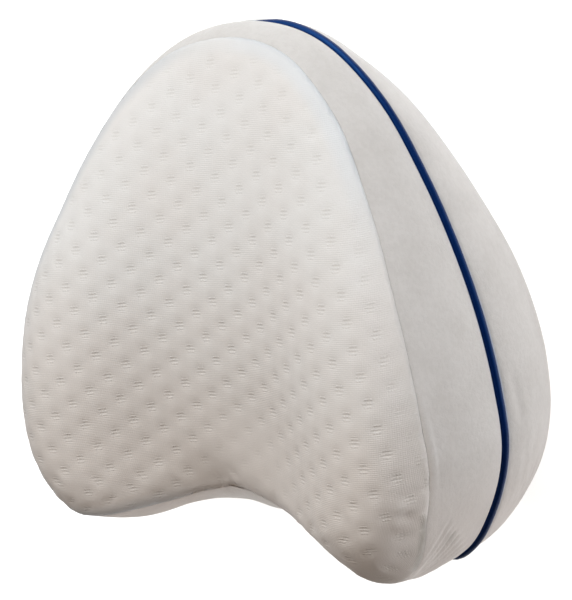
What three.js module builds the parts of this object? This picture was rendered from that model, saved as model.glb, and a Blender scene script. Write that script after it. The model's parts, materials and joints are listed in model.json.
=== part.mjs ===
// Knee pillow lying on its back: X is its width, +Y runs to the rounded apex, +Z leaves the front face.
// The origin is on the surface it rests on, under the middle of its box. Millimetres.
import * as THREE from 'three'

// Driving dimensions
const restHeight = 62.7 // the piping's plane above the surface, with the back lobes pressed flat there
const seamInset = 5.1 // how far each face's seam is drawn in from the piping
const pipingInset = 0 // the bands' outer cloth beside the piping, in from its centreline
const bandFullness = 1.8 // how far a band swells past a plain slope between its seams
const bandThickness = 2.2
const pipingDiameter = 3.3
const gap = 0.3 // between pieces that touch
const lipThickness = 1.3 // edge of the face cloth over the band's edge
const outlineSteps = 84 // round the whole outline
const pipingSides = 8
const clearOfSeam = 4.4 // points of the face cloth stay this far in from its seam

// Dimples knitted into the face cloth: staggered rows, turned a little clockwise
const dimplePitch = 14.9
const dimpleRowPitch = 8.95
const dimpleTurn = THREE.MathUtils.degToRad(-15.5)
const dimpleDepth = 0.9
const dimpleReach = 150 // half the length of cloth that is laid out before it is cut to the seam

// The piping's centreline, from the apex round to the notch between the two lobes. The same places lie
// on the left half, some of them a little lower there.
const outlineStations = [
  { place: 'apex', x: 0, y: 120.9, lowerLeft: 0 },
  { place: 'apex turn', x: 23.5, y: 117.5, lowerLeft: 0 },
  { place: 'upper shoulder', x: 42.4, y: 108.2, lowerLeft: 0 },
  { place: 'shoulder', x: 66.2, y: 85.4, lowerLeft: 0 },
  { place: 'upper side', x: 85.6, y: 54.8, lowerLeft: 0 },
  { place: 'side', x: 100.6, y: 24.1, lowerLeft: 0 },
  { place: 'middle', x: 112.2, y: -6.9, lowerLeft: 0 },
  { place: 'lower side', x: 120.0, y: -38.5, lowerLeft: 0 },
  { place: 'widest', x: 123.1, y: -63.2, lowerLeft: 0 },
  { place: 'hip', x: 118.7, y: -89.0, lowerLeft: 0 },
  { place: 'lobe turn', x: 107.5, y: -111.5, lowerLeft: 0 },
  { place: 'lobe', x: 94.0, y: -120.2, lowerLeft: 0 },
  { place: 'lobe inside', x: 72.0, y: -111.0, lowerLeft: 8.0 },
  { place: 'notch side', x: 40.0, y: -104.0, lowerLeft: 6.5 },
  { place: 'notch turn', x: 15.5, y: -99.6, lowerLeft: 2.5 },
  { place: 'notch', x: 0, y: -98.2, lowerLeft: 0 },
]

// Sections across one face, from the notch end up to the apex. Heights are above the piping's plane:
// valley in the middle, crest at crestAt to each side of it, and edge at edgeAt, where the seam is.
const faceSections = [
  { y: -124.4, valley: 28.0, crest: 52.0, crestAt: 75.5, edge: 43.0, edgeAt: 94.0 },
  { y: -109.1, valley: 31.4, crest: 60.5, crestAt: 81.6, edge: 47.0, edgeAt: 103.0 },
  { y: -88.7, valley: 35.9, crest: 67.1, crestAt: 87.7, edge: 51.3, edgeAt: 112.2 },
  { y: -63.2, valley: 41.0, crest: 69.9, crestAt: 90.8, edge: 53.1, edgeAt: 116.5 },
  { y: -37.7, valley: 44.3, crest: 69.1, crestAt: 89.8, edge: 52.5, edgeAt: 115.6 },
  { y: -12.2, valley: 45.6, crest: 65.6, crestAt: 85.7, edge: 50.2, edgeAt: 110.8 },
  { y: 13.3, valley: 44.8, crest: 59.4, crestAt: 79.5, edge: 47.9, edgeAt: 101.0 },
  { y: 38.8, valley: 41.7, crest: 50.7, crestAt: 68.0, edge: 43.0, edgeAt: 87.7 },
  { y: 59.2, valley: 37.7, crest: 43.2, crestAt: 58.0, edge: 37.7, edgeAt: 76.5 },
  { y: 79.6, valley: 32.6, crest: 35.6, crestAt: 44.0, edge: 31.6, edgeAt: 62.7 },
  { y: 100.0, valley: 25.9, crest: 27.0, crestAt: 31.0, edge: 26.0, edgeAt: 44.0 },
  { y: 120.4, valley: 18.0, crest: 18.1, crestAt: 15.0, edge: 17.5, edgeAt: 22.0 },
]
const valleyShape = 1.4 // above 1 keeps the valley's floor wide
const shoulderShape = 1.9 // above 1 turns the shoulder down late
const lowestFace = 6

const sectionColumns = ['valley', 'crest', 'crestAt', 'edge', 'edgeAt']
const sectionAt = new THREE.CubicInterpolant(
  faceSections.map((row) => row.y),
  faceSections.flatMap((row) => sectionColumns.map((column) => row[column])),
  sectionColumns.length,
)

// Height of the face above the piping's plane, without its dimples
function faceHeight(x, y) {
  const [valley, crest, crestAt, edge, edgeAt] = sectionAt.evaluate(y)
  const across = Math.abs(x)
  if (across < crestAt) {
    const rise = (1 - Math.cos((Math.PI * across) / crestAt)) / 2
    return valley + (crest - valley) * rise ** valleyShape
  }
  const past = (across - crestAt) / (edgeAt - crestAt)
  return Math.max(lowestFace, crest - (crest - edge) * past ** shoulderShape)
}

// The x that lies a length of cloth away from the middle, along the section at y
function alongCloth(length, y) {
  const step = 1
  let x = 0
  let left = Math.abs(length)
  let height = faceHeight(0, y)
  while (left > 0) {
    const next = faceHeight(x + step, y)
    const piece = Math.min(Math.hypot(step, next - height), 2 * step)
    if (piece > left) return Math.sign(length) * (x + (step * left) / piece)
    left -= piece
    x += step
    height = next
  }
  return 0
}

// Closed outline, counter-clockwise seen from +Z, as points and outward directions
const rightHalf = outlineStations.map(({ x, y }) => new THREE.Vector3(x, y, 0))
const leftHalf = outlineStations.slice(1, -1).map(({ x, y, lowerLeft }) => new THREE.Vector3(-x, y - lowerLeft, 0))
const loopPoints = [...rightHalf, ...leftHalf.reverse()].reverse()
const outlineCurve = new THREE.CatmullRomCurve3(loopPoints, true, 'centripetal')
const outline = outlineCurve.getSpacedPoints(outlineSteps).slice(0, outlineSteps)
const outwards = outline.map((point, k) => {
  const before = outline[(k + outlineSteps - 1) % outlineSteps]
  const after = outline[(k + 1) % outlineSteps]
  return new THREE.Vector3(after.y - before.y, before.x - after.x, 0).normalize()
})

function inFrom(k, inset, z) {
  return outline[k].clone().addScaledVector(outwards[k], -inset).setZ(z)
}

const seamHeights = outline.map((_, k) => {
  const seam = inFrom(k, seamInset, 0)
  return faceHeight(seam.x, seam.y)
})

// The band's outer cloth leans in from the piping to the seam, a little full
function bandInset(share) {
  const slope = pipingInset + (seamInset - pipingInset) * share ** 2
  return slope - bandFullness * Math.sin(Math.PI * share ** 0.8)
}

// A ring that follows the outline, from a section given for each step as [inset, z] pairs
function ringAlongOutline(sectionOf) {
  const points = outline.flatMap((_, k) => sectionOf(k).map(([inset, z]) => inFrom(k, inset, z)))
  return geometryOf(points, quadsRound(outlineSteps, sectionOf(0).length, true))
}

// Triangles between rows of points, each row closed on itself
function quadsRound(rows, perRow, rowsClose) {
  const triangles = []
  const at = (r, c) => (r % rows) * perRow + (c % perRow)
  for (let r = 0; r < (rowsClose ? rows : rows - 1); r += 1) {
    for (let c = 0; c < perRow; c += 1) {
      triangles.push([at(r, c), at(r + 1, c + 1), at(r, c + 1)])
      triangles.push([at(r, c), at(r + 1, c), at(r + 1, c + 1)])
    }
  }
  return triangles
}

function geometryOf(points, triangles) {
  const geometry = new THREE.BufferGeometry()
  geometry.setAttribute('position', new THREE.Float32BufferAttribute(points.flatMap((p) => p.toArray()), 3))
  geometry.setIndex(triangles.flat())
  return geometry
}

// A band's section, from the piping's edge up to the lip of the face cloth
function bandSection(k, side) {
  const low = pipingDiameter / 2 + gap
  const high = seamHeights[k] - lipThickness - gap
  const levels = [low, (low + high) / 2, high]
  const outer = levels.map((z) => [bandInset(z / seamHeights[k]), z * side])
  const inner = levels.map((z) => [bandInset(z / seamHeights[k]) + bandThickness, z * side])
  const section = [...outer, ...inner.reverse()]
  return side > 0 ? section : section.reverse()
}

function pipingSection() {
  const turns = Array.from({ length: pipingSides }, (_, k) => (2 * Math.PI * (k + 0.5)) / pipingSides)
  const radius = pipingDiameter / 2
  return turns.map((turn) => [radius * Math.cos(turn), -radius * Math.sin(turn)])
}

// Points of the face cloth inside its seam: one in each dimple and three between it and the next ones
function clothPoints() {
  const stepAcross = dimplePitch / 4
  const stepAlong = dimpleRowPitch / 2
  const half = Math.ceil(dimpleReach / Math.hypot(stepAcross, stepAlong))
  const seam = outline.map((_, k) => inFrom(k, seamInset, 0))
  const points = []
  for (let i = -half; i <= half; i += 1) {
    for (let j = -half; j <= half; j += 1) {
      const across = (i + j) * stepAcross
      const along = (i - j) * stepAlong
      const cloth = across * Math.cos(dimpleTurn) - along * Math.sin(dimpleTurn)
      const y = across * Math.sin(dimpleTurn) + along * Math.cos(dimpleTurn)
      const x = alongCloth(cloth, y)
      const dent = i % 2 === 0 && j % 2 === 0 ? dimpleDepth : 0
      if (insideBy(seam, x, y) > clearOfSeam) points.push({ x, y, dent })
    }
  }
  return points
}

// How far a point lies inside a closed line, below zero outside it
function insideBy(line, x, y) {
  let nearest = Infinity
  let inside = false
  line.forEach((a, k) => {
    const b = line[(k + 1) % line.length]
    const along = ((x - a.x) * (b.x - a.x) + (y - a.y) * (b.y - a.y)) / a.distanceToSquared(b)
    const share = THREE.MathUtils.clamp(along, 0, 1)
    nearest = Math.min(nearest, Math.hypot(a.x + share * (b.x - a.x) - x, a.y + share * (b.y - a.y) - y))
    if (a.y > y !== b.y > y && x < a.x + ((y - a.y) / (b.y - a.y)) * (b.x - a.x)) inside = !inside
  })
  return inside ? nearest : -nearest
}

// Delaunay triangles over points in the plane, counter-clockwise, by adding one point at a time
function planeTriangles(points) {
  const far = 1e4
  const corners = [...points, { x: -far, y: -far }, { x: far, y: -far }, { x: 0, y: far }]
  const withCircle = (a, b, c) => {
    const [p, q, r] = [corners[a], corners[b], corners[c]]
    const bx = q.x - p.x
    const by = q.y - p.y
    const cx = r.x - p.x
    const cy = r.y - p.y
    const twice = 2 * (bx * cy - by * cx)
    const ux = (cy * (bx * bx + by * by) - by * (cx * cx + cy * cy)) / twice
    const uy = (bx * (cx * cx + cy * cy) - cx * (bx * bx + by * by)) / twice
    return { abc: [a, b, c], x: p.x + ux, y: p.y + uy, radius: Math.hypot(ux, uy) }
  }
  const count = points.length
  let triangles = [withCircle(count, count + 1, count + 2)]
  points.forEach((point, n) => {
    const hit = (t) => Math.hypot(t.x - point.x, t.y - point.y) < t.radius
    const edges = new Map()
    for (const { abc } of triangles.filter(hit)) {
      abc.forEach((a, k) => {
        const b = abc[(k + 1) % 3]
        if (!edges.delete(`${b} ${a}`)) edges.set(`${a} ${b}`, [a, b])
      })
    }
    triangles = triangles.filter((t) => !hit(t))
    for (const [a, b] of edges.values()) triangles.push(withCircle(a, b, n))
  })
  return triangles.map(({ abc }) => abc).filter((abc) => abc.every((k) => k < count))
}

// One filled body: the dimpled face, the side with its recesses, and the same face turned over
function cushionGeometry() {
  const levels = [
    (k) => [seamInset, seamHeights[k]],
    (k) => [seamInset, seamHeights[k] - lipThickness],
    (k) => [seamInset + bandThickness + gap, seamHeights[k] - lipThickness],
    (k) => [bandInset(0.5) + bandThickness + gap, seamHeights[k] / 2],
    (k) => [pipingInset + bandThickness + gap, 0],
  ]
  const mirrored = levels.slice(0, -1).reverse().map((level) => (k) => {
    const [inset, z] = level(k)
    return [inset, -z]
  })
  const side = [...levels, ...mirrored].flatMap((level) => outline.map((_, k) => inFrom(k, ...level(k))))
  const walls = quadsRound(levels.length + mirrored.length, outlineSteps, false)
  const inner = clothPoints()
  const seam = side.slice(0, outlineSteps)
  const middleOf = (abc, axis) => abc.reduce((sum, k) => sum + [...seam, ...inner][k][axis], 0) / 3
  const face = planeTriangles([...seam, ...inner]).filter(
    (abc) => insideBy(seam, middleOf(abc, 'x'), middleOf(abc, 'y')) > 0,
  )
  const front = inner.map(({ x, y, dent }) => new THREE.Vector3(x, y, faceHeight(x, y) - dent))
  const back = front.map(({ x, y, z }) => new THREE.Vector3(x, y, -Math.min(z, restHeight)))
  const frontTriangles = face.map((abc) => abc.map((k) => (k < outlineSteps ? k : k - outlineSteps + side.length)))
  const lastRow = side.length - outlineSteps
  const backStart = side.length + inner.length - outlineSteps
  const backTriangles = face.map(([a, b, c]) => [a, c, b].map((k) => (k < outlineSteps ? lastRow : backStart) + k))
  return geometryOf([...side, ...front, ...back], [...walls, ...frontTriangles, ...backTriangles])
}

const faceCloth = new THREE.MeshStandardMaterial({ color: 0xebe8e2, roughness: 0.95, metalness: 0 })
const bandCloth = new THREE.MeshStandardMaterial({ color: 0xdedcd9, roughness: 0.9, metalness: 0 })
const pipingSatin = new THREE.MeshStandardMaterial({ color: 0x06206b, roughness: 0.4, metalness: 0 })

function piece(name, geometry, material) {
  const mesh = new THREE.Mesh(geometry, material)
  mesh.name = name
  mesh.position.z = restHeight
  return mesh
}

const pillow = new THREE.Group()
pillow.add(
  piece('cushion', cushionGeometry(), faceCloth),
  piece('front_band', ringAlongOutline((k) => bandSection(k, 1)), bandCloth),
  piece('back_band', ringAlongOutline((k) => bandSection(k, -1)), bandCloth),
  piece('piping', ringAlongOutline(pipingSection), pipingSatin),
)

export default pillow
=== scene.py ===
import json
import math

import bmesh
import bpy
import numpy as np
from mathutils import Matrix, Vector
from mathutils.bvhtree import BVHTree

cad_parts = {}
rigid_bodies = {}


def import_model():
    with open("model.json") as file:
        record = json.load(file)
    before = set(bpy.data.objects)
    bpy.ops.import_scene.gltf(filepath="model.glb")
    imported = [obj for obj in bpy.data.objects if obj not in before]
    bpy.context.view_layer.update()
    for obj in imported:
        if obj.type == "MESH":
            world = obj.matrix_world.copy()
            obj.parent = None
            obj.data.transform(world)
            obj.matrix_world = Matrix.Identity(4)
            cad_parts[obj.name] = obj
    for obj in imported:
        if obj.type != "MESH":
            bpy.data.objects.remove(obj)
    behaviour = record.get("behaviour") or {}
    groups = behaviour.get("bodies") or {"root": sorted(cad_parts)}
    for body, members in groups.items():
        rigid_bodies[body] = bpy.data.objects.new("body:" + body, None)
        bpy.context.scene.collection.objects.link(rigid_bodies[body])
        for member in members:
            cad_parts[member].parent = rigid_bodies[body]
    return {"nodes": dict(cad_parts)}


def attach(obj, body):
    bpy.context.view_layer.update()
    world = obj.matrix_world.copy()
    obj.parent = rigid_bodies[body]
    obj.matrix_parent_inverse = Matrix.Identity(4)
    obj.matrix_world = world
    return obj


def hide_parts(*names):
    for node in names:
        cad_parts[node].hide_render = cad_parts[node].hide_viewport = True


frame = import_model()
for leftOver in [thing for thing in bpy.data.objects if thing.name in ("Cube", "Light", "Camera")]:
    bpy.data.objects.remove(leftOver)
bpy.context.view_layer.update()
mm = 0.001  # every size below is in millimetres, and becomes metres through this
mergeReach = 0.01 * mm  # points closer than this are one point
print("frame loaded")


# Small helpers for selecting, copying and finishing a piece

def select(thing):
    if bpy.context.object and bpy.context.object.mode != "OBJECT":
        bpy.ops.object.mode_set(mode="OBJECT")
    bpy.ops.object.select_all(action="DESELECT")
    thing.select_set(True)
    bpy.context.view_layer.objects.active = thing


def editAll(piece):
    select(piece)
    bpy.ops.object.mode_set(mode="EDIT")
    bpy.ops.mesh.select_all(action="SELECT")


def copyOfNode(nodeName, pieceName):
    piece = frame["nodes"][nodeName].copy()
    piece.data = piece.data.copy()
    piece.name = piece.data.name = pieceName
    piece.parent = None
    for key in list(piece.keys()):
        del piece[key]
    bpy.context.scene.collection.objects.link(piece)
    editAll(piece)
    bpy.ops.mesh.remove_doubles(threshold=mergeReach)
    bpy.ops.mesh.tris_convert_to_quads(face_threshold=math.radians(60), shape_threshold=math.radians(40))
    bpy.ops.object.mode_set(mode="OBJECT")
    bpy.ops.mesh.customdata_custom_splitnormals_clear()
    return piece


def applySubdivision(piece, levels):
    select(piece)
    finer = piece.modifiers.new("finer", "SUBSURF")
    finer.levels = finer.render_levels = levels
    bpy.ops.object.modifier_apply(modifier=finer.name)


def pointsOf(piece):
    points = np.empty(len(piece.data.vertices) * 3)
    piece.data.vertices.foreach_get("co", points)
    return points.reshape(-1, 3)


def setPoints(piece, points):
    piece.data.vertices.foreach_set("co", points.ravel())
    piece.data.update()


def normalsOf(piece):
    normals = np.empty(len(piece.data.vertices) * 3)
    piece.data.vertices.foreach_get("normal", normals)
    return normals.reshape(-1, 3)


def setMap(piece, name, perVertex):
    layer = piece.data.uv_layers.new(name=name)
    corners = np.empty(len(piece.data.loops), dtype=np.int32)
    piece.data.loops.foreach_get("vertex_index", corners)
    layer.data.foreach_set("uv", perVertex[corners].ravel())


def softStep(low, high, value):
    share = np.clip((value - low) / (high - low), 0, 1)
    return share * share * (3 - 2 * share)


def turnedBy(angle, x, y):  # the same place measured on axes turned by an angle
    return x * math.cos(angle) + y * math.sin(angle), y * math.cos(angle) - x * math.sin(angle)


def ride(piece, slotName, material, *nodeNames):
    select(piece)
    bpy.ops.object.shade_smooth()
    piece.data.materials.clear()
    piece.data.materials.append(material)
    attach(piece, "root")
    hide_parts(*nodeNames)


# The pillow's outline, read off the corded piping, and the seams' heights, read off the bands

def mergedMesh(nodeName):
    mesh = bmesh.new()
    mesh.from_mesh(frame["nodes"][nodeName].data)
    bmesh.ops.remove_doubles(mesh, verts=mesh.verts, dist=mergeReach)
    return mesh


def smoothLoop(rows, finer):  # a smooth closed line through even points, with more points on it
    before, here, after, beyond = (np.roll(rows, shift, axis=0) for shift in (1, 0, -1, -2))
    parts = [
        (2 * here + (after - before) * share + (2 * before - 5 * here + 4 * after - beyond) * share ** 2
         + (3 * here - before - 3 * after + beyond) * share ** 3) / 2
        for share in np.arange(finer) / finer
    ]
    return np.stack(parts, axis=1).reshape(-1, rows.shape[1])


def readOutline(finer=10, sectionReach=2 * mm):
    ring = mergedMesh("piping")
    taken, centres = set(), []
    for first in ring.verts:  # in the mesh's own order, so that each run gives the same sums
        if first in taken:
            continue
        section, fresh = [], [first]
        taken.add(first)
        while fresh:  # the points of one section lie close together
            vertex = fresh.pop()
            section.append(vertex.co.copy())
            for edge in vertex.link_edges:
                other = edge.other_vert(vertex)
                if other not in taken and edge.calc_length() < sectionReach:
                    taken.add(other)
                    fresh.append(other)
        centres.append(sum(section, Vector()) / len(section))
    ring.free()
    centres.sort(key=lambda centre: math.atan2(centre.x, centre.y + 20 * mm))  # seen from inside the notch
    points = smoothLoop(np.array(centres)[:, :2], finer)
    ahead = np.roll(points, -1, axis=0) - np.roll(points, 1, axis=0)
    ahead /= np.linalg.norm(ahead, axis=1, keepdims=True)
    steps = np.linalg.norm(np.diff(points, axis=0, append=points[:1]), axis=1)
    along = np.concatenate([[0], np.cumsum(steps)[:-1]])
    apex = along[np.argmax(points[:, 1])]
    return {
        "points": points,
        "ahead": ahead,
        "outwards": np.column_stack([-ahead[:, 1], ahead[:, 0]]),
        "along": along - apex,  # from the apex, clockwise seen from the front
        "length": steps.sum(),
        "height": centres[0].z,
    }


def beside(points, atOnce=4000):  # place along the outline, depth in from it, and the outward direction
    nearest = np.empty(len(points), dtype=int)
    for start in range(0, len(points), atOnce):
        part = points[start:start + atOnce, :2]
        apart = ((part[:, None, :] - outline["points"][None, :, :]) ** 2).sum(axis=2)
        nearest[start:start + atOnce] = apart.argmin(axis=1)
    away = points[:, :2] - outline["points"][nearest]
    outwards = outline["outwards"][nearest]
    along = outline["along"][nearest] + (away * outline["ahead"][nearest]).sum(axis=1)
    return along, -(away * outwards).sum(axis=1), outwards


def readSeamHeights():
    mesh = mergedMesh("front_band")
    tops = []
    for vertex in mesh.verts:
        rises = [
            (edge.other_vert(vertex).co.z - vertex.co.z) / edge.calc_length() for edge in vertex.link_edges
        ]
        if max(rises) < seam["steep"]:  # no edge leads up the band from here
            tops.append(vertex.co[:])
    mesh.free()
    tops = np.array(tops)
    along, depth, _ = beside(tops)
    outer = depth < seam["inset"] * mm  # the inner edge is as high
    order = np.argsort(along[outer])
    rows = np.column_stack([along, tops[:, 2] - outline["height"] + seam["underLip"] * mm])[outer][order]
    rows = np.vstack([rows, rows[0] + [outline["length"], 0]])
    return rows[:, 0], rows[:, 1]


def spotsAt(along, spots):  # soft bumps at places along the outline, in millimetres
    length = outline["length"] / mm
    total = 0
    for place, reach, amount in spots:
        apart = (along / mm - place + length / 2) % length - length / 2
        total = total + amount * np.exp(-(apart / reach) ** 2)
    return total


def seamDip(along):  # the lobes' ends roll down to their seams
    return spotsAt(along, seam["dips"]) * mm


def modelHeight(along):
    return np.interp(along, *seamTable, period=outline["length"])


def seamHeight(along):
    ring, outwards = onOutline(along)
    height = modelHeight(along) - seamDip(along)
    return height - hollowAt(ring - outwards * seam["inset"] * mm)


def onOutline(along):  # points and outward directions at places along the outline
    def read(key):
        turn = outline["length"]
        columns = [np.interp(along, outline["along"], outline[key][:, k], period=turn) for k in (0, 1)]
        return np.column_stack(columns)

    outwards = read("outwards")
    return read("points"), outwards / np.linalg.norm(outwards, axis=1, keepdims=True)


def hollowAt(points):  # how far the faces sink just above the notch
    apart = np.hypot(*(points[:, :2] - np.array(seam["hollow"]["at"]) * mm).T)
    return np.exp(-(apart / (seam["hollow"]["reach"] * mm)) ** 2) * seam["hollow"]["depth"] * mm


def seamInset(along, side):  # how far in from the piping the seam runs
    drawnIn = []
    for key in ("drawnInFront", "drawnInBack"):
        places, extra = zip(*seam[key])
        drawnIn.append(np.interp(along, np.array(places) * mm, extra))
    return (seam["inset"] + np.where(np.asarray(side) > 0, *drawnIn)) * mm


seam = {
    "inset": 5.1,  # in from the piping, as in the model
    "underLip": 1.6,  # the model's band ends this far below the face's edge
    "steep": 0.75,  # an edge of the model's band that climbs more than this runs up the band
    "drawnInFront": [  # and this much further in: place from the apex, clockwise, and millimetres
        (-375, 0), (-355, 0.2), (-338, 0.2), (-320, 1.0), (-300, 1.0), (-275, 1.1), (-245, 1.1),
        (-215, 0.1), (-185, -0.7), (-165, -0.7), (-135, -0.3), (-110, -1.0), (-70, -1.3), (-40, -0.6),
        (-20, 0), (170, 0), (200, 0.4), (222, 1.4), (240, 2.8), (262, 3.2), (282, 1.4), (300, -0.6),
        (320, -1.4), (342, 0.9), (360, 0.8), (378, 0),
    ],
    "drawnInBack": [
        (-280, 0), (-205, -2.4), (-140, -0.8), (-90, 0), (15, 0), (45, 1.7), (75, 0.2), (100, 0),
        (130, -0.6), (165, -1.4), (205, -1.7), (240, -1.0), (280, -0.8), (310, 0),
    ],
    "dips": [(-325, 45, 1.2), (300, 40, 4.2)],  # place, its reach and how far the seam comes down there
    "grooves": [(274, 20, 0.8), (-388, 14, 0.8)],  # place, its reach and how deep the seam lies there
    "grooveReach": 2,
    "hollow": {"at": (-6, -90), "reach": 13, "depth": 2.6},
}
outline = readOutline()
seamTable = readSeamHeights()
print("outline read:", round(outline["length"], 3), "m round")


# Creases and puckers, as soft troughs in the cloth

creaseForm = {
    "fade": 0.25,  # the share of its length over which a crease runs out at each end
    "bank": 0.45,  # the cloth stands up beside the trough by this share of its depth
    "bankPlace": 2.1,  # in widths from the trough's middle
}


def runOut(share, fadeIn, fadeOut):  # a crease grows shallow towards both its ends
    return softStep(0, fadeIn, share + 0.02) * softStep(0, fadeOut, 1.02 - share)


def pressCreases(points, directions, creases):
    for crease in creases:
        first, last = (np.array(crease[end]) * mm for end in ("from", "to"))
        run = last - first
        share = np.clip((points - first) @ run / (run @ run), 0, 1)
        apart = np.linalg.norm(points - first - share[:, None] * run, axis=1)
        width = crease["width"] * mm
        fromBank = (apart - creaseForm["bankPlace"] * width) / width
        trough = np.exp(-(apart / width) ** 2) - creaseForm["bank"] * np.exp(-fromBank ** 2)
        trough = trough * runOut(share, creaseForm["fade"], creaseForm["fade"])
        points -= directions * (trough * crease["depth"] * mm)[:, None]
    return points


def waves(along, pitches, apart=0.37):  # an uneven wave from a few even ones, which start apart
    total = 0
    for k, pitch in enumerate(pitches):
        total = total + np.cos(2 * math.pi * (along / (pitch * mm) + apart * k))
    return total / len(pitches)


def turned(outwards):  # outward directions in the plane as directions in space
    return np.column_stack([outwards, np.zeros(len(outwards))])


# Shader maths as expressions

class Finish:  # one material and its nodes
    def __init__(self, name):
        self.material = bpy.data.materials.new(name)
        self.material.use_nodes = True
        self.tree = self.material.node_tree
        self.surface = self.tree.nodes["Principled BSDF"]

    def add(self, kind, settings, inputs, output=0):
        node = self.tree.nodes.new(kind)
        for key, value in settings.items():
            if key == "stops":
                for stop, (place, colour) in zip(node.color_ramp.elements, value):
                    stop.position, stop.color = place, colour
            else:
                setattr(node, key, value)
        for key, value in inputs.items():
            self.put(node.inputs[key], value)
        return Value(self, node.outputs[output])

    def put(self, socket, value):
        if isinstance(value, Value):
            self.tree.links.new(value.socket, socket)
        else:
            socket.default_value = value

    def feed(self, **values):
        for key, value in values.items():
            self.put(self.surface.inputs[key.replace("_", " ")], value)

    def place(self):
        return self.add("ShaderNodeTexCoord", {}, {}, "Object")

    def axes(self, vector):
        return [self.add("ShaderNodeSeparateXYZ", {}, {0: vector}, k) for k in range(3)]

    def noise(self, vector, size, detail=2.0):  # size is the width of a blotch, in millimetres
        inputs = {"Vector": vector, "Scale": 1 / (size * mm), "Detail": detail}
        return self.add("ShaderNodeTexNoise", {}, inputs)

    def blend(self, share, first, second):
        settings = {"data_type": "RGBA", "clamp_factor": True}
        return self.add("ShaderNodeMix", settings, {0: share, 6: first, 7: second}, 2)

    def bump(self, height, distance, under=None):
        inputs = {"Height": height, "Distance": distance * mm, "Strength": 1.0}
        if under is not None:
            inputs["Normal"] = under
        return self.add("ShaderNodeBump", {}, inputs)


class Value:  # a socket that takes part in sums
    def __init__(self, finish, socket):
        self.finish, self.socket = finish, socket

    def maths(self, operation, *others):
        return self.finish.add("ShaderNodeMath", {"operation": operation}, dict(enumerate((self, *others))))

    def reflected(self, operation, other):
        return self.finish.add("ShaderNodeMath", {"operation": operation}, {0: other, 1: self})

    def __add__(self, other):
        return self.maths("ADD", other)

    def __radd__(self, other):
        return self.reflected("ADD", other)

    def __sub__(self, other):
        return self.maths("SUBTRACT", other)

    def __rsub__(self, other):
        return self.reflected("SUBTRACT", other)

    def __mul__(self, other):
        return self.maths("MULTIPLY", other)

    def __rmul__(self, other):
        return self.reflected("MULTIPLY", other)

    def __truediv__(self, other):
        return self.maths("DIVIDE", other)

    def __abs__(self):
        return self.maths("ABSOLUTE")

    def wave(self, pitch):  # from 0 to 1 and back over each pitch, in millimetres
        return (self * (2 * math.pi / (pitch * mm))).maths("COSINE") * 0.5 + 0.5

    def length(self, other):  # of the slanted line with these two sides
        return (self * self + other * other).maths("SQRT")

    def fade(self, low, high):  # 0 below low, 1 above high, smooth between
        settings = {"interpolation_type": "SMOOTHSTEP"}
        inputs = {"Value": self, "From Min": low, "From Max": high}
        return self.finish.add("ShaderNodeMapRange", settings, inputs)

    def above(self, low, high):  # the same between two places, in millimetres
        return self.fade(low * mm, high * mm)

    def below(self, low, high):
        return 1 - self.above(low, high)


# Face cloth

knit = {
    "colour": (0.742, 0.710, 0.690, 1),
    "warmColour": (0.73, 0.672, 0.640, 1),
    "lowColour": (0.745, 0.675, 0.630, 1),  # towards the lobes
    # darker tone for the random tufts, and painted shade in the dimples' hollows
    "tuftAndDentShadeColour": (0.62, 0.58, 0.54, 1),
    "lineColour": (0.45, 0.41, 0.37, 1),
    "rimHighlightColour": (0.675, 0.69, 0.72, 1),  # painted highlight beside the seam, where no dimples are
    # painted shade where the face turns over at its seam
    "rimShadeColour": (0.57, 0.575, 0.60, 1),
    # painted shade on the face's left rim, where it turns away
    "leftRimShadeColour": (0.52, 0.53, 0.55, 1),
    "shadeColour": (0.52, 0.455, 0.41, 1),
    "shades": [  # middle, reach and strength
        (-18, -86, 26, 0.40), (88, -110, 30, 0.75), (105, -83, 10, 0.45),
    ],
    "grooveShade": (256, 296, 0.9),  # from and to along the seam, low on the right, and strength
    "grooveFade": 8,
    "dimplePitch": 14.9,
    "dimpleRowPitch": 17.9,
    "dimpleTurn": -15.5,  # degrees
    "dimpleHollow": (0.8, 3.4),  # from deep to level
    "courseTurn": 6.3,  # degrees
    "coursePitch": 0.86,
    "courseDrift": 0.3,
    "walePitch": 0.98,
    "barPitch": 1.6,
    "barStitch": 1.3,
    "barReach": 2.5,  # half a bar's length in the middle of a dimple
    "barTaper": 0.45,  # how much shorter it is for each millimetre from there
    "barRows": 2.9,  # how far the bars go to each side of a dimple's middle
    "border": (3, 10),  # beside the seam the dimples fade in
    "lobes": (-70, -20),  # and down here they reach the seam
    "smooth": (18, 42),  # round the place where the cloth is pulled smooth
    "upper": (20, 80),  # from here up the light falls on the rim
    "rightHalf": (-20, 20),
    "leftHalf": (-50, 0),
    # width of the painted shade on the left rim
    "leftRimShade": (0.5, 8),
    # width of the painted highlight beside the seam
    "rimHighlight": (3, 9),
    # width of the painted shade on the rim
    "rim": (0.3, 2.4),
    "line": (0.3, 2.0),
}


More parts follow.
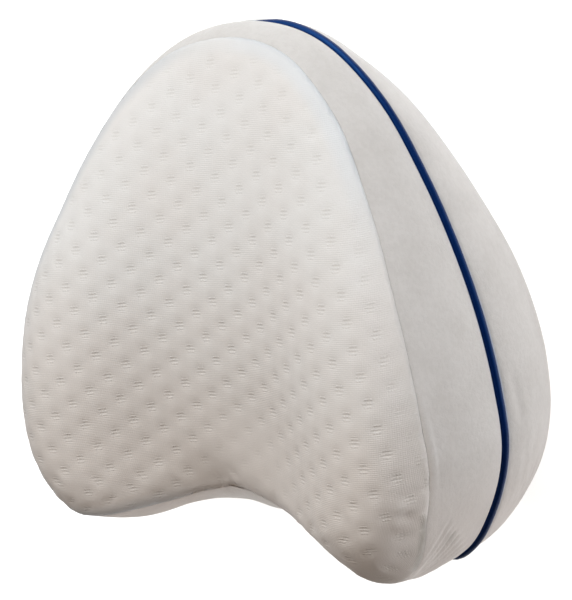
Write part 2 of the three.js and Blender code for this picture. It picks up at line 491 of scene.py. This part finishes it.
def faceKnit():
    finish = Finish("face_knit")
    cloth = finish.add("ShaderNodeUVMap", {"uv_map": "cloth"}, {})
    across, along, _ = finish.axes(cloth)
    turn, course = (math.radians(knit[key]) for key in ("dimpleTurn", "courseTurn"))
    p, q = turnedBy(turn, across, along)
    overWales, overCourses = turnedBy(course, across, along)

    def fromMiddle(shift):  # place in the nearest cell, from its middle
        offsets = []
        for value, pitch in ((p, knit["dimplePitch"] * mm), (q, knit["dimpleRowPitch"] * mm)):
            cell = value / pitch + shift
            offsets.append((cell - cell.maths("ROUND")) * pitch)
        return offsets

    (px, py), (qx, qy) = fromMiddle(0.0), fromMiddle(0.5)
    nearer = (px * px + py * py).maths("LESS_THAN", qx * qx + qy * qy)
    x = px * nearer + qx * (1 - nearer)
    y = py * nearer + qy * (1 - nearer)
    barX, barY = turnedBy(course - turn, x, y)
    reach = knit["barReach"] * mm - abs(barY) * knit["barTaper"]
    inBar = (reach - abs(barX)).above(-0.5, 0.5)
    inRows = abs(barY).below(knit["barRows"] - 0.4, knit["barRows"] + 0.3)
    woven = finish.noise(cloth, 1.5).fade(0.3, 0.6) * 0.6 + 0.5
    stitches = 0.5 + 0.5 * barX.wave(knit["barStitch"])
    bars = barY.wave(knit["barPitch"]) * stitches * inBar * inRows * woven
    hollow = x.length(y).below(*knit["dimpleHollow"])
    border = finish.add("ShaderNodeUVMap", {"uv_map": "border"}, {})
    alongSeam, fromSeam, _ = finish.axes(border)
    lowEnd = along.below(*knit["lobes"])
    inField = (fromSeam.above(*knit["border"]) + lowEnd).maths("MINIMUM", 1.0)
    place = finish.place()
    placeX, placeY, _ = finish.axes(place)

    def fromSpot(spotX, spotY):
        besideX, besideY = placeX - spotX * mm, placeY - spotY * mm
        return besideX.length(besideY)

    pulled = fromSpot(*body["smoothAt"]).below(*knit["smooth"])
    inField = inField * (1 - pulled * 0.7) * (1 - along.above(0, 90) * 0.3)
    bars, hollow = bars * inField, hollow * inField

    drift = finish.noise(place, 60, 1.0)
    fibres = finish.noise(place, 0.7, 3.0)
    courses = (overCourses + drift * (knit["courseDrift"] * mm)).wave(knit["coursePitch"])
    wales = overWales.wave(knit["walePitch"])
    showing = (finish.noise(place, 34, 1.0).fade(0.3, 0.7) * 0.6 + lowEnd * 0.3 + 0.1) * (1 - pulled * 0.6)
    plain = (1 - hollow * 0.7) * showing
    height = (courses * 0.26 + wales * 0.16) * plain + fibres * 0.4 + bars * 0.85
    blotches = finish.noise(place, 45).fade(0.35, 0.7)
    colour = finish.blend(blotches * 0.5, knit["colour"], knit["warmColour"])
    colour = finish.blend(along.below(-90, 20) * 0.9, colour, knit["lowColour"])
    tufts = finish.noise(place, 3.5).fade(0.35, 0.65)
    colour = finish.blend(tufts * 0.06, colour, knit["tuftAndDentShadeColour"])
    # painted shade in the dimples' hollows
    colour = finish.blend(hollow * 0.28 * (1 - bars), colour, knit["tuftAndDentShadeColour"])
    lines = ((1 - courses) * 0.05 + (1 - wales) * 0.04) * showing + (1 - fibres) * 0.05
    colour = finish.blend(lines, colour, knit["lineColour"])
    upper = along.above(*knit["upper"]) * placeX.above(*knit["rightHalf"])
    # painted shade along the face's left rim
    leftRimShade = placeX.below(*knit["leftHalf"]) * fromSeam.below(*knit["leftRimShade"])
    colour = finish.blend(leftRimShade * 0.6, colour, knit["leftRimShadeColour"])
    # painted highlight on the face beside the upper right seam
    rimHighlight = fromSeam.below(*knit["rimHighlight"]) * upper * 0.5
    colour = finish.blend(rimHighlight, colour, knit["rimHighlightColour"])
    # painted shade on the rim along the upper right seam
    colour = finish.blend(fromSeam.below(*knit["rim"]) * upper * 0.5, colour, knit["rimShadeColour"])
    for spotX, spotY, reach, strength in knit["shades"]:
        near = fromSpot(spotX, spotY).below(0, reach)
        colour = finish.blend(near * strength, colour, knit["shadeColour"])
    start, end, strength = knit["grooveShade"]
    fade = knit["grooveFade"]
    within = alongSeam.above(start, start + fade) * alongSeam.below(end - fade, end)
    colour = finish.blend(fromSeam.below(*knit["line"]) * within * strength, colour, knit["lineColour"])
    finish.feed(
        Base_Color=colour, Roughness=0.92, Normal=finish.bump(height, 0.22),
        Sheen_Weight=0.14, Sheen_Roughness=0.4, Sheen_Tint=(0.88, 0.93, 1.0, 1), Specular_IOR_Level=0.25,
    )
    return finish.material


# Filled body: the faces swell between their dimples, and each dimple is then pressed in

body = {
    "pressure": 30.0,
    "frames": 16,
    "mostMove": 0.9,  # how far the simulation may move a point
    "offFloor": 0.3,  # lower points lie on the floor and stay there
    "dimpleReach": 1.5,  # nearer to a dimple than this the cloth is held
    "dimpleEase": 0.55,  # the model's dimples are wide, so they are let out by this much first
    "dimpleDepth": 0.68,
    "dimpleWidth": 2.6,
    "dimplesFrom": 1,  # from the seam
    "dimplesFull": 11,
    "dimplesFullAtLobes": 6,
    "lobes": (-40, -95),  # the lobes begin and are full
    "shoulder": 0.8,  # how much fuller the face is just inside its seam
    "lobeShoulder": 2.8,  # and so much more at its low end
    "shoulderRise": 4.5,
    "shoulderReach": 30,
    "underEdge": 0.6,  # how steeply the side goes in under the band
    "smoothAt": (14, -84),  # by the notch the cloth is pulled smooth
    "smoothFades": (42, 20),
    "pucker": 0.13,
    "puckerReach": 4,
    "lipRidge": [(-352, 30, 0.6)],  # low on the left lobe: place, its reach and height
    "lipRidgeIn": 3,
    "lipRidgeReach": 1.3,
    "clearOfPiping": 1.6,
    "clearReach": 5,
    "edgeHeld": 0.97,  # a point that is this much the edge lies on it
    "edgeReach": 4,  # the edge goes back to its seam, and the cloth this near goes with it
    "edgeBlend": 13,  # the seam's own shifts draw the cloth in this far
    "tuckRamp": 3,
    "tuckReach": 9,
    "hollowFades": (12, 30),  # above the piping
    "grid": {"step": 2, "width": 126, "foot": -124, "apex": 125, "smoothing": 12, "beyond": 80},
    "creases": [
        {"from": (112.9, -64.6, 119.5), "to": (117.6, -66.5, 114.5), "width": 1.4, "depth": -0.5},
        {"from": (112.5, -70.0, 119.9), "to": (117.0, -71.0, 115.2), "width": 1.4, "depth": 0.4},
        {"from": (103.0, -77.5, 124.3), "to": (110.5, -78.5, 118.5), "width": 2.4, "depth": 1.1},
        {"from": (-7.3, -93.6, 95.6), "to": (2.0, -90.5, 96.4), "width": 1.3, "depth": 1.0},
        {"from": (-30.0, -101.0, 101.0), "to": (-7.0, -94.0, 96.0), "width": 1.3, "depth": 0.9},
        {"from": (-1.5, -84.0, 98.4), "to": (2.5, -91.0, 98.0), "width": 1.6, "depth": -0.7},
    ],
}


def clothPlaces(points):  # how far each point is from the middle, measured along the cloth, and its y
    face = BVHTree.FromObject(frame["nodes"]["cushion"], bpy.context.evaluated_depsgraph_get())
    grid = body["grid"]
    step = grid["step"] * mm
    xs = np.arange(0, grid["width"] * mm, step)
    ys = np.arange(grid["foot"] * mm, grid["apex"] * mm, step)
    heights = np.full((len(ys), len(xs)), np.nan)
    for row, y in enumerate(ys):
        for column, x in enumerate(xs):
            hit = face.ray_cast(Vector((x, y, 1)), Vector((0, 0, -1)))[0]
            if hit:
                heights[row, column] = hit.z
        known = ~np.isnan(heights[row])
        heights[row] = np.interp(xs, xs[known], heights[row][known]) if known.any() else grid["beyond"] * mm
    for _ in range(grid["smoothing"]):  # smooth the dimples away
        inner = heights[1:-1, 1:-1]
        around = heights[:-2, 1:-1] + heights[2:, 1:-1] + heights[1:-1, :-2] + heights[1:-1, 2:]
        heights[1:-1, 1:-1] = inner / 2 + around / 8
    lengths = np.zeros_like(heights)
    lengths[:, 1:] = np.cumsum(np.hypot(step, np.diff(heights, axis=1)), axis=1)
    column = np.clip(np.abs(points[:, 0]) / step, 0, len(xs) - 1.001)
    row = np.clip((points[:, 1] - ys[0]) / step, 0, len(ys) - 1.001)
    c, r = column.astype(int), row.astype(int)
    u, v = column - c, row - r
    low = lengths[r, c] * (1 - u) + lengths[r, c + 1] * u
    high = lengths[r + 1, c] * (1 - u) + lengths[r + 1, c + 1] * u
    return np.column_stack([np.sign(points[:, 0]) * (low * (1 - v) + high * v), points[:, 1]])


def fromDimple(places):  # distance to the nearest dimple, along the cloth
    p, q = turnedBy(math.radians(knit["dimpleTurn"]), places[:, 0], places[:, 1])
    nearest = np.full(len(places), np.inf)
    for shift in (0.0, 0.5):
        u = p / (knit["dimplePitch"] * mm) + shift
        v = q / (knit["dimpleRowPitch"] * mm) + shift
        x = (u - np.round(u)) * knit["dimplePitch"] * mm
        y = (v - np.round(v)) * knit["dimpleRowPitch"] * mm
        nearest = np.minimum(nearest, np.hypot(x, y))
    return nearest


def swell(piece, free):  # air pressure lifts the cloth between the points that hold it
    start = pointsOf(piece)
    held = piece.vertex_groups.new(name="held")
    held.add([int(k) for k in np.flatnonzero(~free)], 1.0, "REPLACE")
    select(piece)
    bpy.ops.object.modifier_add(type="CLOTH")
    cloth = piece.modifiers[-1]
    cloth.settings.quality = 6
    cloth.settings.use_pressure = True
    cloth.settings.uniform_pressure_force = body["pressure"]
    cloth.settings.effector_weights.gravity = 0
    cloth.settings.vertex_group_mass = held.name
    cloth.point_cache.frame_end = body["frames"]
    for step in range(1, body["frames"] + 1):
        bpy.context.scene.frame_set(step)
    swollen = piece.evaluated_get(bpy.context.evaluated_depsgraph_get())
    moved = np.empty(len(start) * 3)
    swollen.data.vertices.foreach_get("co", moved)
    move = moved.reshape(-1, 3) - start
    length = np.linalg.norm(move, axis=1, keepdims=True)
    print("swelling, mm:", np.round(np.percentile(length[free] / mm, [5, 50, 95]), 2))
    move *= np.minimum(1, body["mostMove"] * mm / np.maximum(length, 1e-9))
    piece.modifiers.remove(cloth)
    bpy.context.scene.frame_set(1)
    setPoints(piece, start + move)
    piece.vertex_groups.clear()


def straightenEdge(piece, points):  # smoothing drew the faces' edges off the seam lines: put them back
    share = np.array([sum(entry.weight for entry in vertex.groups) for vertex in piece.data.vertices])
    piece.vertex_groups.clear()
    along, depth, outwards = beside(points)
    for side in (-1, 1):
        rise = (points[:, 2] - outline["height"]) * side
        onEdge = (share > body["edgeHeld"]) & (rise > 0)
        order = np.argsort(along[onEdge])
        places = along[onEdge][order]
        insets = np.interp(along, places, depth[onEdge][order], period=outline["length"])
        rises = np.interp(along, places, rise[onEdge][order], period=outline["length"])
        apart = ((depth - insets) ** 2 + (rise - rises) ** 2) * (rise > 0)
        near = np.exp(-apart / (body["edgeReach"] * mm) ** 2) * (rise > 0)
        further = np.exp(-apart / (body["edgeBlend"] * mm) ** 2) * (rise > 0)
        inwards = (seamInset(along, side) - seam["inset"] * mm) * further
        inwards -= (insets - seam["inset"] * mm) * near
        move = turned(outwards) * -inwards[:, None]
        move[:, 2] = ((seamHeight(along) + seamDip(along) - rises) * near - seamDip(along) * further) * side
        points = points + move
    along, depth, outwards = beside(points)
    rise = points[:, 2] - outline["height"]
    under = seamHeight(along) - np.abs(rise)
    least = seamInset(along, rise) + np.clip(under, 0, body["tuckRamp"] * mm) * body["underEdge"]
    tuck = np.maximum(least - depth, 0) * (under > 0) * (under < body["tuckReach"] * mm)
    return points - turned(outwards) * tuck[:, None]


def swellFaces(piece):
    start = pointsOf(piece)
    normals = normalsOf(piece)
    onFace = (np.abs(normals[:, 2]) > 0.25) & (start[:, 2] > body["offFloor"] * mm)
    between = fromDimple(clothPlaces(start)) > body["dimpleReach"] * mm
    eased = onFace & ~between
    start[eased] += normals[eased] * body["dimpleEase"] * mm
    setPoints(piece, start)
    swell(piece, onFace & between)
    print("body swollen")


def markEdge(piece):  # the faces' edges along the seams
    start = pointsOf(piece)
    along, depth, _ = beside(start)
    rise = np.abs(start[:, 2] - outline["height"])
    edge = piece.vertex_groups.new(name="edge")
    atEdge = (depth < (seam["inset"] + 0.2) * mm) & (rise > modelHeight(along) - 0.4 * mm)
    edge.add([int(k) for k in np.flatnonzero(atEdge)], 1.0, "REPLACE")


def fittedPoints(piece):  # the faces with their hollow, their edges back on the seams
    points = pointsOf(piece)
    rise = points[:, 2] - outline["height"]
    fades = [height * mm for height in body["hollowFades"]]
    points[:, 2] -= hollowAt(points) * softStep(*fades, np.abs(rise)) * np.sign(rise)
    return straightenEdge(piece, points)


def pressedDimples(points, places, fromSeam, lowEnd):
    away = fromDimple(places)
    dent = np.exp(-(away / (body["dimpleWidth"] * mm)) ** 2) * body["dimpleDepth"] * mm
    full = body["dimplesFull"] - (body["dimplesFull"] - body["dimplesFullAtLobes"]) * lowEnd
    inField = softStep(body["dimplesFrom"] * mm, full * mm, fromSeam)
    dent *= inField * (0.65 + 0.35 * softStep(70 * mm, 0, points[:, 1]))
    smoothX, smoothY = body["smoothAt"]
    fromNotch = np.hypot(points[:, 0] - smoothX * mm, points[:, 1] - smoothY * mm)
    fades = [reach * mm for reach in body["smoothFades"]]
    return dent * (1 - 0.7 * softStep(*fades, fromNotch))


def makeBody():
    piece = copyOfNode("cushion", "pillow_body")
    swellFaces(piece)
    markEdge(piece)
    applySubdivision(piece, 2)
    points = fittedPoints(piece)
    setPoints(piece, points)
    normals = normalsOf(piece)
    places = clothPlaces(points)
    along, depth, outwards = beside(points)
    side = np.sign(points[:, 2] - outline["height"])
    onFace = softStep(0.2, 0.5, np.abs(normals[:, 2]))
    fromSeam = depth - seamInset(along, side)
    inBorder = np.maximum(fromSeam, 0) / mm
    lobesBegin, lobesFull = (y * mm for y in body["lobes"])
    lowEnd = softStep(lobesBegin, lobesFull, points[:, 1])
    shoulder = 1 - np.exp(-inBorder / body["shoulderRise"])
    shoulder *= np.exp(-(inBorder / body["shoulderReach"]) ** 2)
    shoulder *= (body["shoulder"] + body["lobeShoulder"] * lowEnd) * mm
    points[:, 2] += side * shoulder * onFace
    dent = pressedDimples(points, places, fromSeam, lowEnd)
    pucker = waves(along, (9, 14, 23)) * np.exp(-np.maximum(fromSeam, 0) / (body["puckerReach"] * mm))
    pucker *= body["pucker"] * mm
    lip = spotsAt(along, body["lipRidge"]) * (side > 0) * mm
    lip *= np.exp(-((fromSeam - body["lipRidgeIn"] * mm) / (body["lipRidgeReach"] * mm)) ** 2)
    points -= normals * ((dent + pucker - lip) * onFace)[:, None]
    points = pressCreases(points, normals, body["creases"])
    belly = np.exp(-((points[:, 2] - outline["height"]) / (body["clearReach"] * mm)) ** 2) * (1 - onFace)
    points -= turned(outwards) * (belly * (body["clearOfPiping"] * mm + pipingSink(along)))[:, None]
    points[:, 2] = np.maximum(points[:, 2], 0)
    setPoints(piece, points)
    setMap(piece, "cloth", places)
    setMap(piece, "border", np.column_stack([along, fromSeam]))
    ride(piece, "face_knit", faceKnit(), "cushion")
    print("body done:", len(piece.data.polygons), "faces")


# Side bands

velour = {
    "colour": (0.60, 0.566, 0.545, 1),
    "shadeColour": (0.48, 0.445, 0.42, 1),
    "lowColour": (0.53, 0.46, 0.42, 1),  # towards the lobes
    # painted light from below on the band in the notch
    "notchLitColour": (0.78, 0.78, 0.77, 1),
    # painted bluish highlight on the band beside the piping
    "besidePiping": (0.58, 0.72, 1.0, 1),
    "lobes": (-110, -50),
    "notchWidth": (10, 34),
    "notchTop": (-106, -88),
    "besideReach": (2.4, 3.8),  # above the piping's middle
}


def bandVelour():
    finish = Finish("band_velour")
    place = finish.place()
    patches = finish.noise(place, 16, 3.0).fade(0.35, 0.7)
    tufts = finish.noise(place, 2.6, 2.0).fade(0.35, 0.65)
    nap = finish.noise(place, 1.1, 3.0)
    fibres = finish.noise(place, 0.45, 2.0)
    shade = patches * 0.25 + tufts * 0.16 + nap * 0.25
    colour = finish.blend(shade, velour["colour"], velour["shadeColour"])
    _, rise, _ = finish.axes(finish.add("ShaderNodeUVMap", {"uv_map": "cloth"}, {}))
    x, y, _ = finish.axes(place)
    colour = finish.blend(y.below(*velour["lobes"]) * 0.45, colour, velour["lowColour"])
    # painted light from below on the band in the notch
    inNotch = abs(x).below(*velour["notchWidth"]) * y.below(*velour["notchTop"])
    colour = finish.blend(inNotch * 0.6, colour, velour["notchLitColour"])
    # painted bluish highlight on the band beside the piping
    colour = finish.blend(rise.below(*velour["besideReach"]) * 0.85, colour, velour["besidePiping"])
    height = tufts * 0.35 + nap * 0.6 + fibres * 0.5
    finish.feed(
        Base_Color=colour, Roughness=0.9, Normal=finish.bump(height, 0.18),
        Sheen_Weight=0.25, Sheen_Roughness=0.45, Specular_IOR_Level=0.2,
    )
    return finish.material


band = {
    "thickness": 2.2,
    "steps": 1000,  # round the pillow
    "rows": 36,  # from the piping to the seam
    "low": 1.25,  # where the band starts behind the piping, above the piping's middle
    "underLip": 0.2,
    "fullness": 1.8,
    "turnIn": 1.0,  # beside the piping
    "turnInReach": 3.5,
    "seamTurnIn": 0.15,
    "seamTurnInReach": 1.6,
    "notchBulge": 2.6,
    "notchReach": 32,
    "frontFullness": [  # place from the apex, clockwise, its reach and how much fuller
        (0, 40, -0.7), (-84, 36, 2.0), (-337, 20, 3.6), (280, 28, -3.2), (302, 12, -1.6), (322, 22, 3.4),
        (398, 22, 5.5),
    ],
    "backFullness": [
        (0, 30, -0.7), (55, 32, -1.6), (-55, 32, -0.8), (205, 52, 1.6), (-205, 52, 1.2), (300, 40, -0.8),
    ],
    "ridge": [(226, 20, 1.0)],  # beside the front seam: place, its reach and height
    "ridgeBelow": 2.6,  # the seam
    "ridgeReach": 1.4,
    "fan": [  # fine creases: along and height at each end, width and depth
        (262, 33, 288, 40, 1.1, 0.45), (268, 30, 296, 40, 1.2, 0.60), (270, 25, 300, 40, 1.3, 0.65),
        (274, 20, 304, 41, 1.2, 0.60), (278, 16, 307, 41, 1.3, 0.65), (282, 11, 309, 39, 1.2, 0.55),
        (287, 7, 311, 35, 1.3, 0.55),
    ],
    "fanBank": 0.5,  # as a crease's bank, and its place in widths
    "fanBankPlace": 2,
    "edgeRadius": 0.45,
    "flat": (0.81, 0.057),
    "area": 0.0337,
    "backCreases": [
        {"from": (123.4, -55.0, 44.0), "to": (116.5, -96.0, 41.0), "width": 1.5, "depth": 0.6},
        {"from": (123.6, -62.0, 52.0), "to": (117.0, -95.0, 48.0), "width": 1.2, "depth": 0.55},
        {"from": (119.5, -84.0, 34.0), "to": (112.0, -104.0, 46.0), "width": 1.3, "depth": 0.7},
        {"from": (121.5, -76.0, 28.0), "to": (114.0, -101.0, 36.0), "width": 1.5, "depth": 0.6},
        {"from": (124.0, -20.0, 54.0), "to": (124.5, -58.0, 49.0), "width": 2.4, "depth": 0.5},
    ],
}


def pipingSink(along):  # how far the piping is pulled in
    overApex = 1
    for low, high in piping["sinkEnds"]:
        overApex = overApex * softStep(low * mm, high * mm, along)
    return (piping["sink"] * overApex + spotsAt(along, piping["drawnIn"])) * mm


def notchShare(along):  # 1 in the notch between the lobes
    fromNotch = outline["length"] / 2 - np.abs(along)
    return np.exp(-(fromNotch / (band["notchReach"] * mm)) ** 2)


def fanDepth(along, rise):  # the fan's creases, pressed in together
    depthHere = 0
    for firstAlong, firstRise, lastAlong, lastRise, width, depth in band["fan"]:
        run = np.array([lastAlong - firstAlong, lastRise - firstRise])
        apart = np.column_stack([along / mm - firstAlong, rise / mm - firstRise])
        share = np.clip(apart @ run / (run @ run), 0, 1)
        away = np.linalg.norm(apart - share[:, None] * run, axis=1) / width
        trough = np.exp(-away ** 2) - band["fanBank"] * np.exp(-(away - band["fanBankPlace"]) ** 2)
        depthHere = depthHere + trough * runOut(share, 0.3, 0.2) * depth
    return depthHere


def bandInset(along, rise, side):  # how far in from the piping the band's cloth lies
    height = seamHeight(along)
    share = np.clip(rise / height, 0, 1)
    middle = np.sin(math.pi * share ** 0.8)
    fullness = band["fullness"] + band["notchBulge"] * notchShare(along)
    fullness += spotsAt(along, band["frontFullness"] if side > 0 else band["backFullness"])
    inset = seamInset(along, side) / mm * share ** 2 - fullness * middle
    besidePiping = 1 - np.clip((rise - band["low"] * mm) / (band["turnInReach"] * mm), 0, 1)
    inset += besidePiping ** 2 * (band["turnIn"] + pipingSink(along) / mm)
    besideSeam = 1 - np.clip((height - rise - band["underLip"] * mm) / (band["seamTurnInReach"] * mm), 0, 1)
    inset += besideSeam ** 2 * band["seamTurnIn"]
    if side > 0:
        down = height - rise
        fromRidge = (down - band["ridgeBelow"] * mm) / (band["ridgeReach"] * mm)
        inset += spotsAt(along, seam["grooves"]) * np.exp(-down / (seam["grooveReach"] * mm))
        inset -= spotsAt(along, band["ridge"]) * np.exp(-fromRidge ** 2)
        inset += fanDepth(along, rise)
    return inset * mm


def makeBand(pieceName, nodeName, side, material):
    bpy.ops.mesh.primitive_grid_add(x_subdivisions=band["steps"], y_subdivisions=band["rows"], size=1)
    piece = bpy.context.object
    piece.name = piece.data.name = pieceName
    flat = pointsOf(piece)
    along = flat[:, 0] * outline["length"]
    top = seamHeight(along) - band["underLip"] * mm
    rise = band["low"] * mm + (flat[:, 1] + 0.5) * (top - band["low"] * mm)
    ring, outwards = onOutline(along)
    ring -= outwards * bandInset(along, rise, side)[:, None]
    points = np.column_stack([ring, outline["height"] + side * rise])
    if side < 0:
        points = pressCreases(points, turned(outwards), band["backCreases"])
    setPoints(piece, points)
    setMap(piece, "cloth", np.column_stack([along, rise]))
    editAll(piece)
    if side > 0:
        bpy.ops.mesh.flip_normals()
    bpy.ops.mesh.remove_doubles(threshold=mergeReach)  # closes the strip into a ring
    bpy.ops.object.mode_set(mode="OBJECT")
    thick = piece.modifiers.new("thick", "SOLIDIFY")
    thick.thickness = band["thickness"] * mm
    thick.offset = -1
    thick.use_even_offset = True
    bpy.ops.object.modifier_apply(modifier=thick.name)
    editAll(piece)
    bpy.ops.mesh.normals_make_consistent(inside=False)
    bpy.ops.object.mode_set(mode="OBJECT")
    rounded = piece.modifiers.new("rounded", "BEVEL")
    rounded.width = band["edgeRadius"] * mm
    rounded.segments = 2
    rounded.limit_method = "ANGLE"
    rounded.angle_limit = math.radians(50)
    bpy.ops.object.modifier_apply(modifier=rounded.name)
    ride(piece, "band_velour", material, nodeName)
    print(pieceName, "done:", len(piece.data.polygons), "faces")


# Corded piping

piping = {
    "diameter": 3.7,
    "proud": 0.45,  # how far it stands out from its line
    "steps": 420,
    "sides": 16,
    "sink": 3.0,  # over the apex, where it is pulled in behind the band
    "sinkEnds": [(19, -14), (-110, -75)],  # it begins and is full, from the right and from the left
    "unevenness": 0.03,  # share of its thickness
    "drawnIn": [(275, 30, 1.1)],  # place, its reach and how far
}
satin = {
    "colour": (0.0, 0.003, 0.03, 1),
    "threadColour": (0.0, 0.009, 0.075, 1),
    "glossTint": (0.08, 0.36, 1.0, 1),
}


def pipingSatin():
    finish = Finish("piping_satin")
    place = finish.place()
    x, y, z = finish.axes(place)
    threads = (x + y + z * 1.5).wave(0.5)
    slubs = finish.noise(place, 3, 2.0)
    colour = finish.blend(threads * 0.35 + slubs * 0.4, satin["colour"], satin["threadColour"])
    finish.feed(
        Base_Color=colour, Roughness=0.38, Normal=finish.bump(threads, 0.05),
        Specular_IOR_Level=0.5, Specular_Tint=satin["glossTint"],
    )
    return finish.material


def makePiping():
    tube = 0.2  # its radius on a ring of radius 1, before it is laid along the outline
    bpy.ops.mesh.primitive_torus_add(
        major_segments=piping["steps"], minor_segments=piping["sides"], major_radius=1, minor_radius=tube,
    )
    cord = bpy.context.object
    cord.name = cord.data.name = "corded_piping"
    points = pointsOf(cord)
    along = np.arctan2(points[:, 0], points[:, 1]) / (2 * math.pi) * outline["length"]
    outwardPart = (np.hypot(points[:, 0], points[:, 1]) - 1) / tube
    upwardPart = points[:, 2] / tube
    radius = piping["diameter"] / 2 * mm * (1 + piping["unevenness"] * waves(along, (11, 17, 29)))
    ring, outwards = onOutline(along)
    out = outwardPart * radius + piping["proud"] * mm - pipingSink(along)
    ring += outwards * out[:, None]
    setPoints(cord, np.column_stack([ring, outline["height"] + upwardPart * radius]))
    around = np.arctan2(upwardPart, outwardPart) * radius
    setMap(cord, "cloth", np.column_stack([along, around]))
    ride(cord, "piping_satin", pipingSatin(), "piping")
    print("piping done:", len(cord.data.polygons), "faces")


makeBody()
velourMaterial = bandVelour()
makeBand("front_side_band", "front_band", 1, velourMaterial)
makeBand("back_side_band", "back_band", -1, velourMaterial)
makePiping()


# Camera, at the photo's angle to the lying pillow

view = {
    "target": (0.0, -7.1, 62.7),
    "toTheSide": 36.87,  # degrees off the face, towards the right
    "above": 14.09,
    "roll": -2.88,
    "distance": 816.0,
    "lens": 103.7,
    "shift": (0.023, -0.0097),
}


def makeCamera():
    side, above, roll = (math.radians(view[key]) for key in ("toTheSide", "above", "roll"))
    back = Vector((math.sin(side) * math.cos(above), math.sin(above), math.cos(side) * math.cos(above)))
    right = Vector((math.cos(side), 0, -math.sin(side)))
    up = back.cross(right)
    rightTurned = right * math.cos(roll) + up * math.sin(roll)
    upTurned = up * math.cos(roll) - right * math.sin(roll)
    bpy.ops.object.camera_add()
    camera = bpy.context.object
    facing = Matrix((rightTurned, upTurned, back)).transposed().to_4x4()
    place = (Vector(view["target"]) + back * view["distance"]) * mm
    camera.matrix_world = Matrix.Translation(place) @ facing
    camera.data.lens = view["lens"]
    camera.data.sensor_width = 36
    camera.data.shift_x, camera.data.shift_y = view["shift"]
    camera.data.clip_start = 0.01
    bpy.context.scene.camera = camera


# Studio: a pale floor and soft lights. Directions are right, up and towards the camera in the picture

studio = {
    "floorColour": (0.93, 0.93, 0.93, 1),
    "floorSpeckle": (0.90, 0.90, 0.90, 1),
    "ambient": 0.02,
    "ambientColour": (1.0, 0.97, 0.94, 1),
    "lights": [  # the last two light only some pieces
        {"name": "key", "from": (-0.7, 0.6, 0.8), "size": 0.65, "power": 5.5, "colour": (0.93, 0.98, 1.0)},
        {"name": "right", "from": (1, 0.15, 0.9), "size": 0.65, "power": 1.85, "colour": (0.87, 0.94, 1.0)},
        {"name": "low", "from": (-0.5, -0.4, 0.9), "size": 0.65, "power": 0.7, "colour": (1.0, 0.68, 0.4)},
        {"name": "left", "from": (-0.95, -0.35, 0.5), "size": 0.5, "power": 0.45,
         "colour": (0.93, 0.97, 1.0)},
        {"name": "bounce", "from": (-0.1, -1, 0.35), "size": 0.6, "power": 1.25,
         "colour": (1.0, 0.98, 0.98), "lit": ("front_side_band", "back_side_band")},
        {"name": "cord", "from": (-0.25, 1, 0.75), "size": 0.35, "power": 2.5,
         "colour": (0.75, 0.9, 1.0), "lit": ("corded_piping",)},
    ],
    "lightDistance": 0.75,
    "floorLight": {"height": 1.6, "size": 3.0, "power": 46},
}


def floorFinish():
    finish = Finish("floor_pale")
    speckle = finish.noise(finish.place(), 40, 2.0)
    colour = finish.blend(speckle * 0.1, studio["floorColour"], studio["floorSpeckle"])
    finish.feed(Base_Color=colour, Roughness=0.9, Specular_IOR_Level=0.1)
    return finish.material


def addLight(name, place, towards, size, power, colour=(1, 1, 1)):
    bpy.ops.object.light_add(type="AREA", location=place)
    lamp = bpy.context.object
    lamp.name = name
    lamp.rotation_euler = towards.to_track_quat("Z", "Y").to_euler()
    lamp.data.shape = "DISK"
    lamp.data.size = size
    lamp.data.energy = power
    lamp.data.color = colour
    return lamp


def lightOnly(lamp, pieceNames):
    lit = bpy.data.collections.new("lit_by_" + lamp.name)
    for name in pieceNames:
        lit.objects.link(bpy.data.objects[name])
    lamp.light_linking.receiver_collection = lit


def addPictureLight(light):
    towards = (bpy.context.scene.camera.matrix_world.to_3x3() @ Vector(light["from"])).normalized()
    place = Vector(view["target"]) * mm + towards * studio["lightDistance"]
    lamp = addLight(light["name"], place, towards, light["size"], light["power"], light["colour"])
    if "lit" in light:
        lightOnly(lamp, light["lit"])


def makeStudio():
    bpy.ops.mesh.primitive_plane_add(size=12, location=(0, 0, 0))
    floor = bpy.context.object
    floor.name = "studio_floor"
    floor.data.materials.append(floorFinish())
    for light in studio["lights"]:
        addPictureLight(light)
    above = studio["floorLight"]
    place = (0, 0, above["height"])
    lamp = addLight("floor_light", place, Vector((0, 0, 1)), above["size"], above["power"])
    lightOnly(lamp, ("studio_floor",))
    lamp.light_linking.blocker_collection = lamp.light_linking.receiver_collection
    world = bpy.data.worlds.new("studio_air")
    world.use_nodes = True
    world.node_tree.nodes["Background"].inputs["Color"].default_value = studio["ambientColour"]
    world.node_tree.nodes["Background"].inputs["Strength"].default_value = studio["ambient"]
    bpy.context.scene.world = world
    bpy.context.scene.view_settings.view_transform = "Standard"


makeCamera()
makeStudio()
print("studio ready")
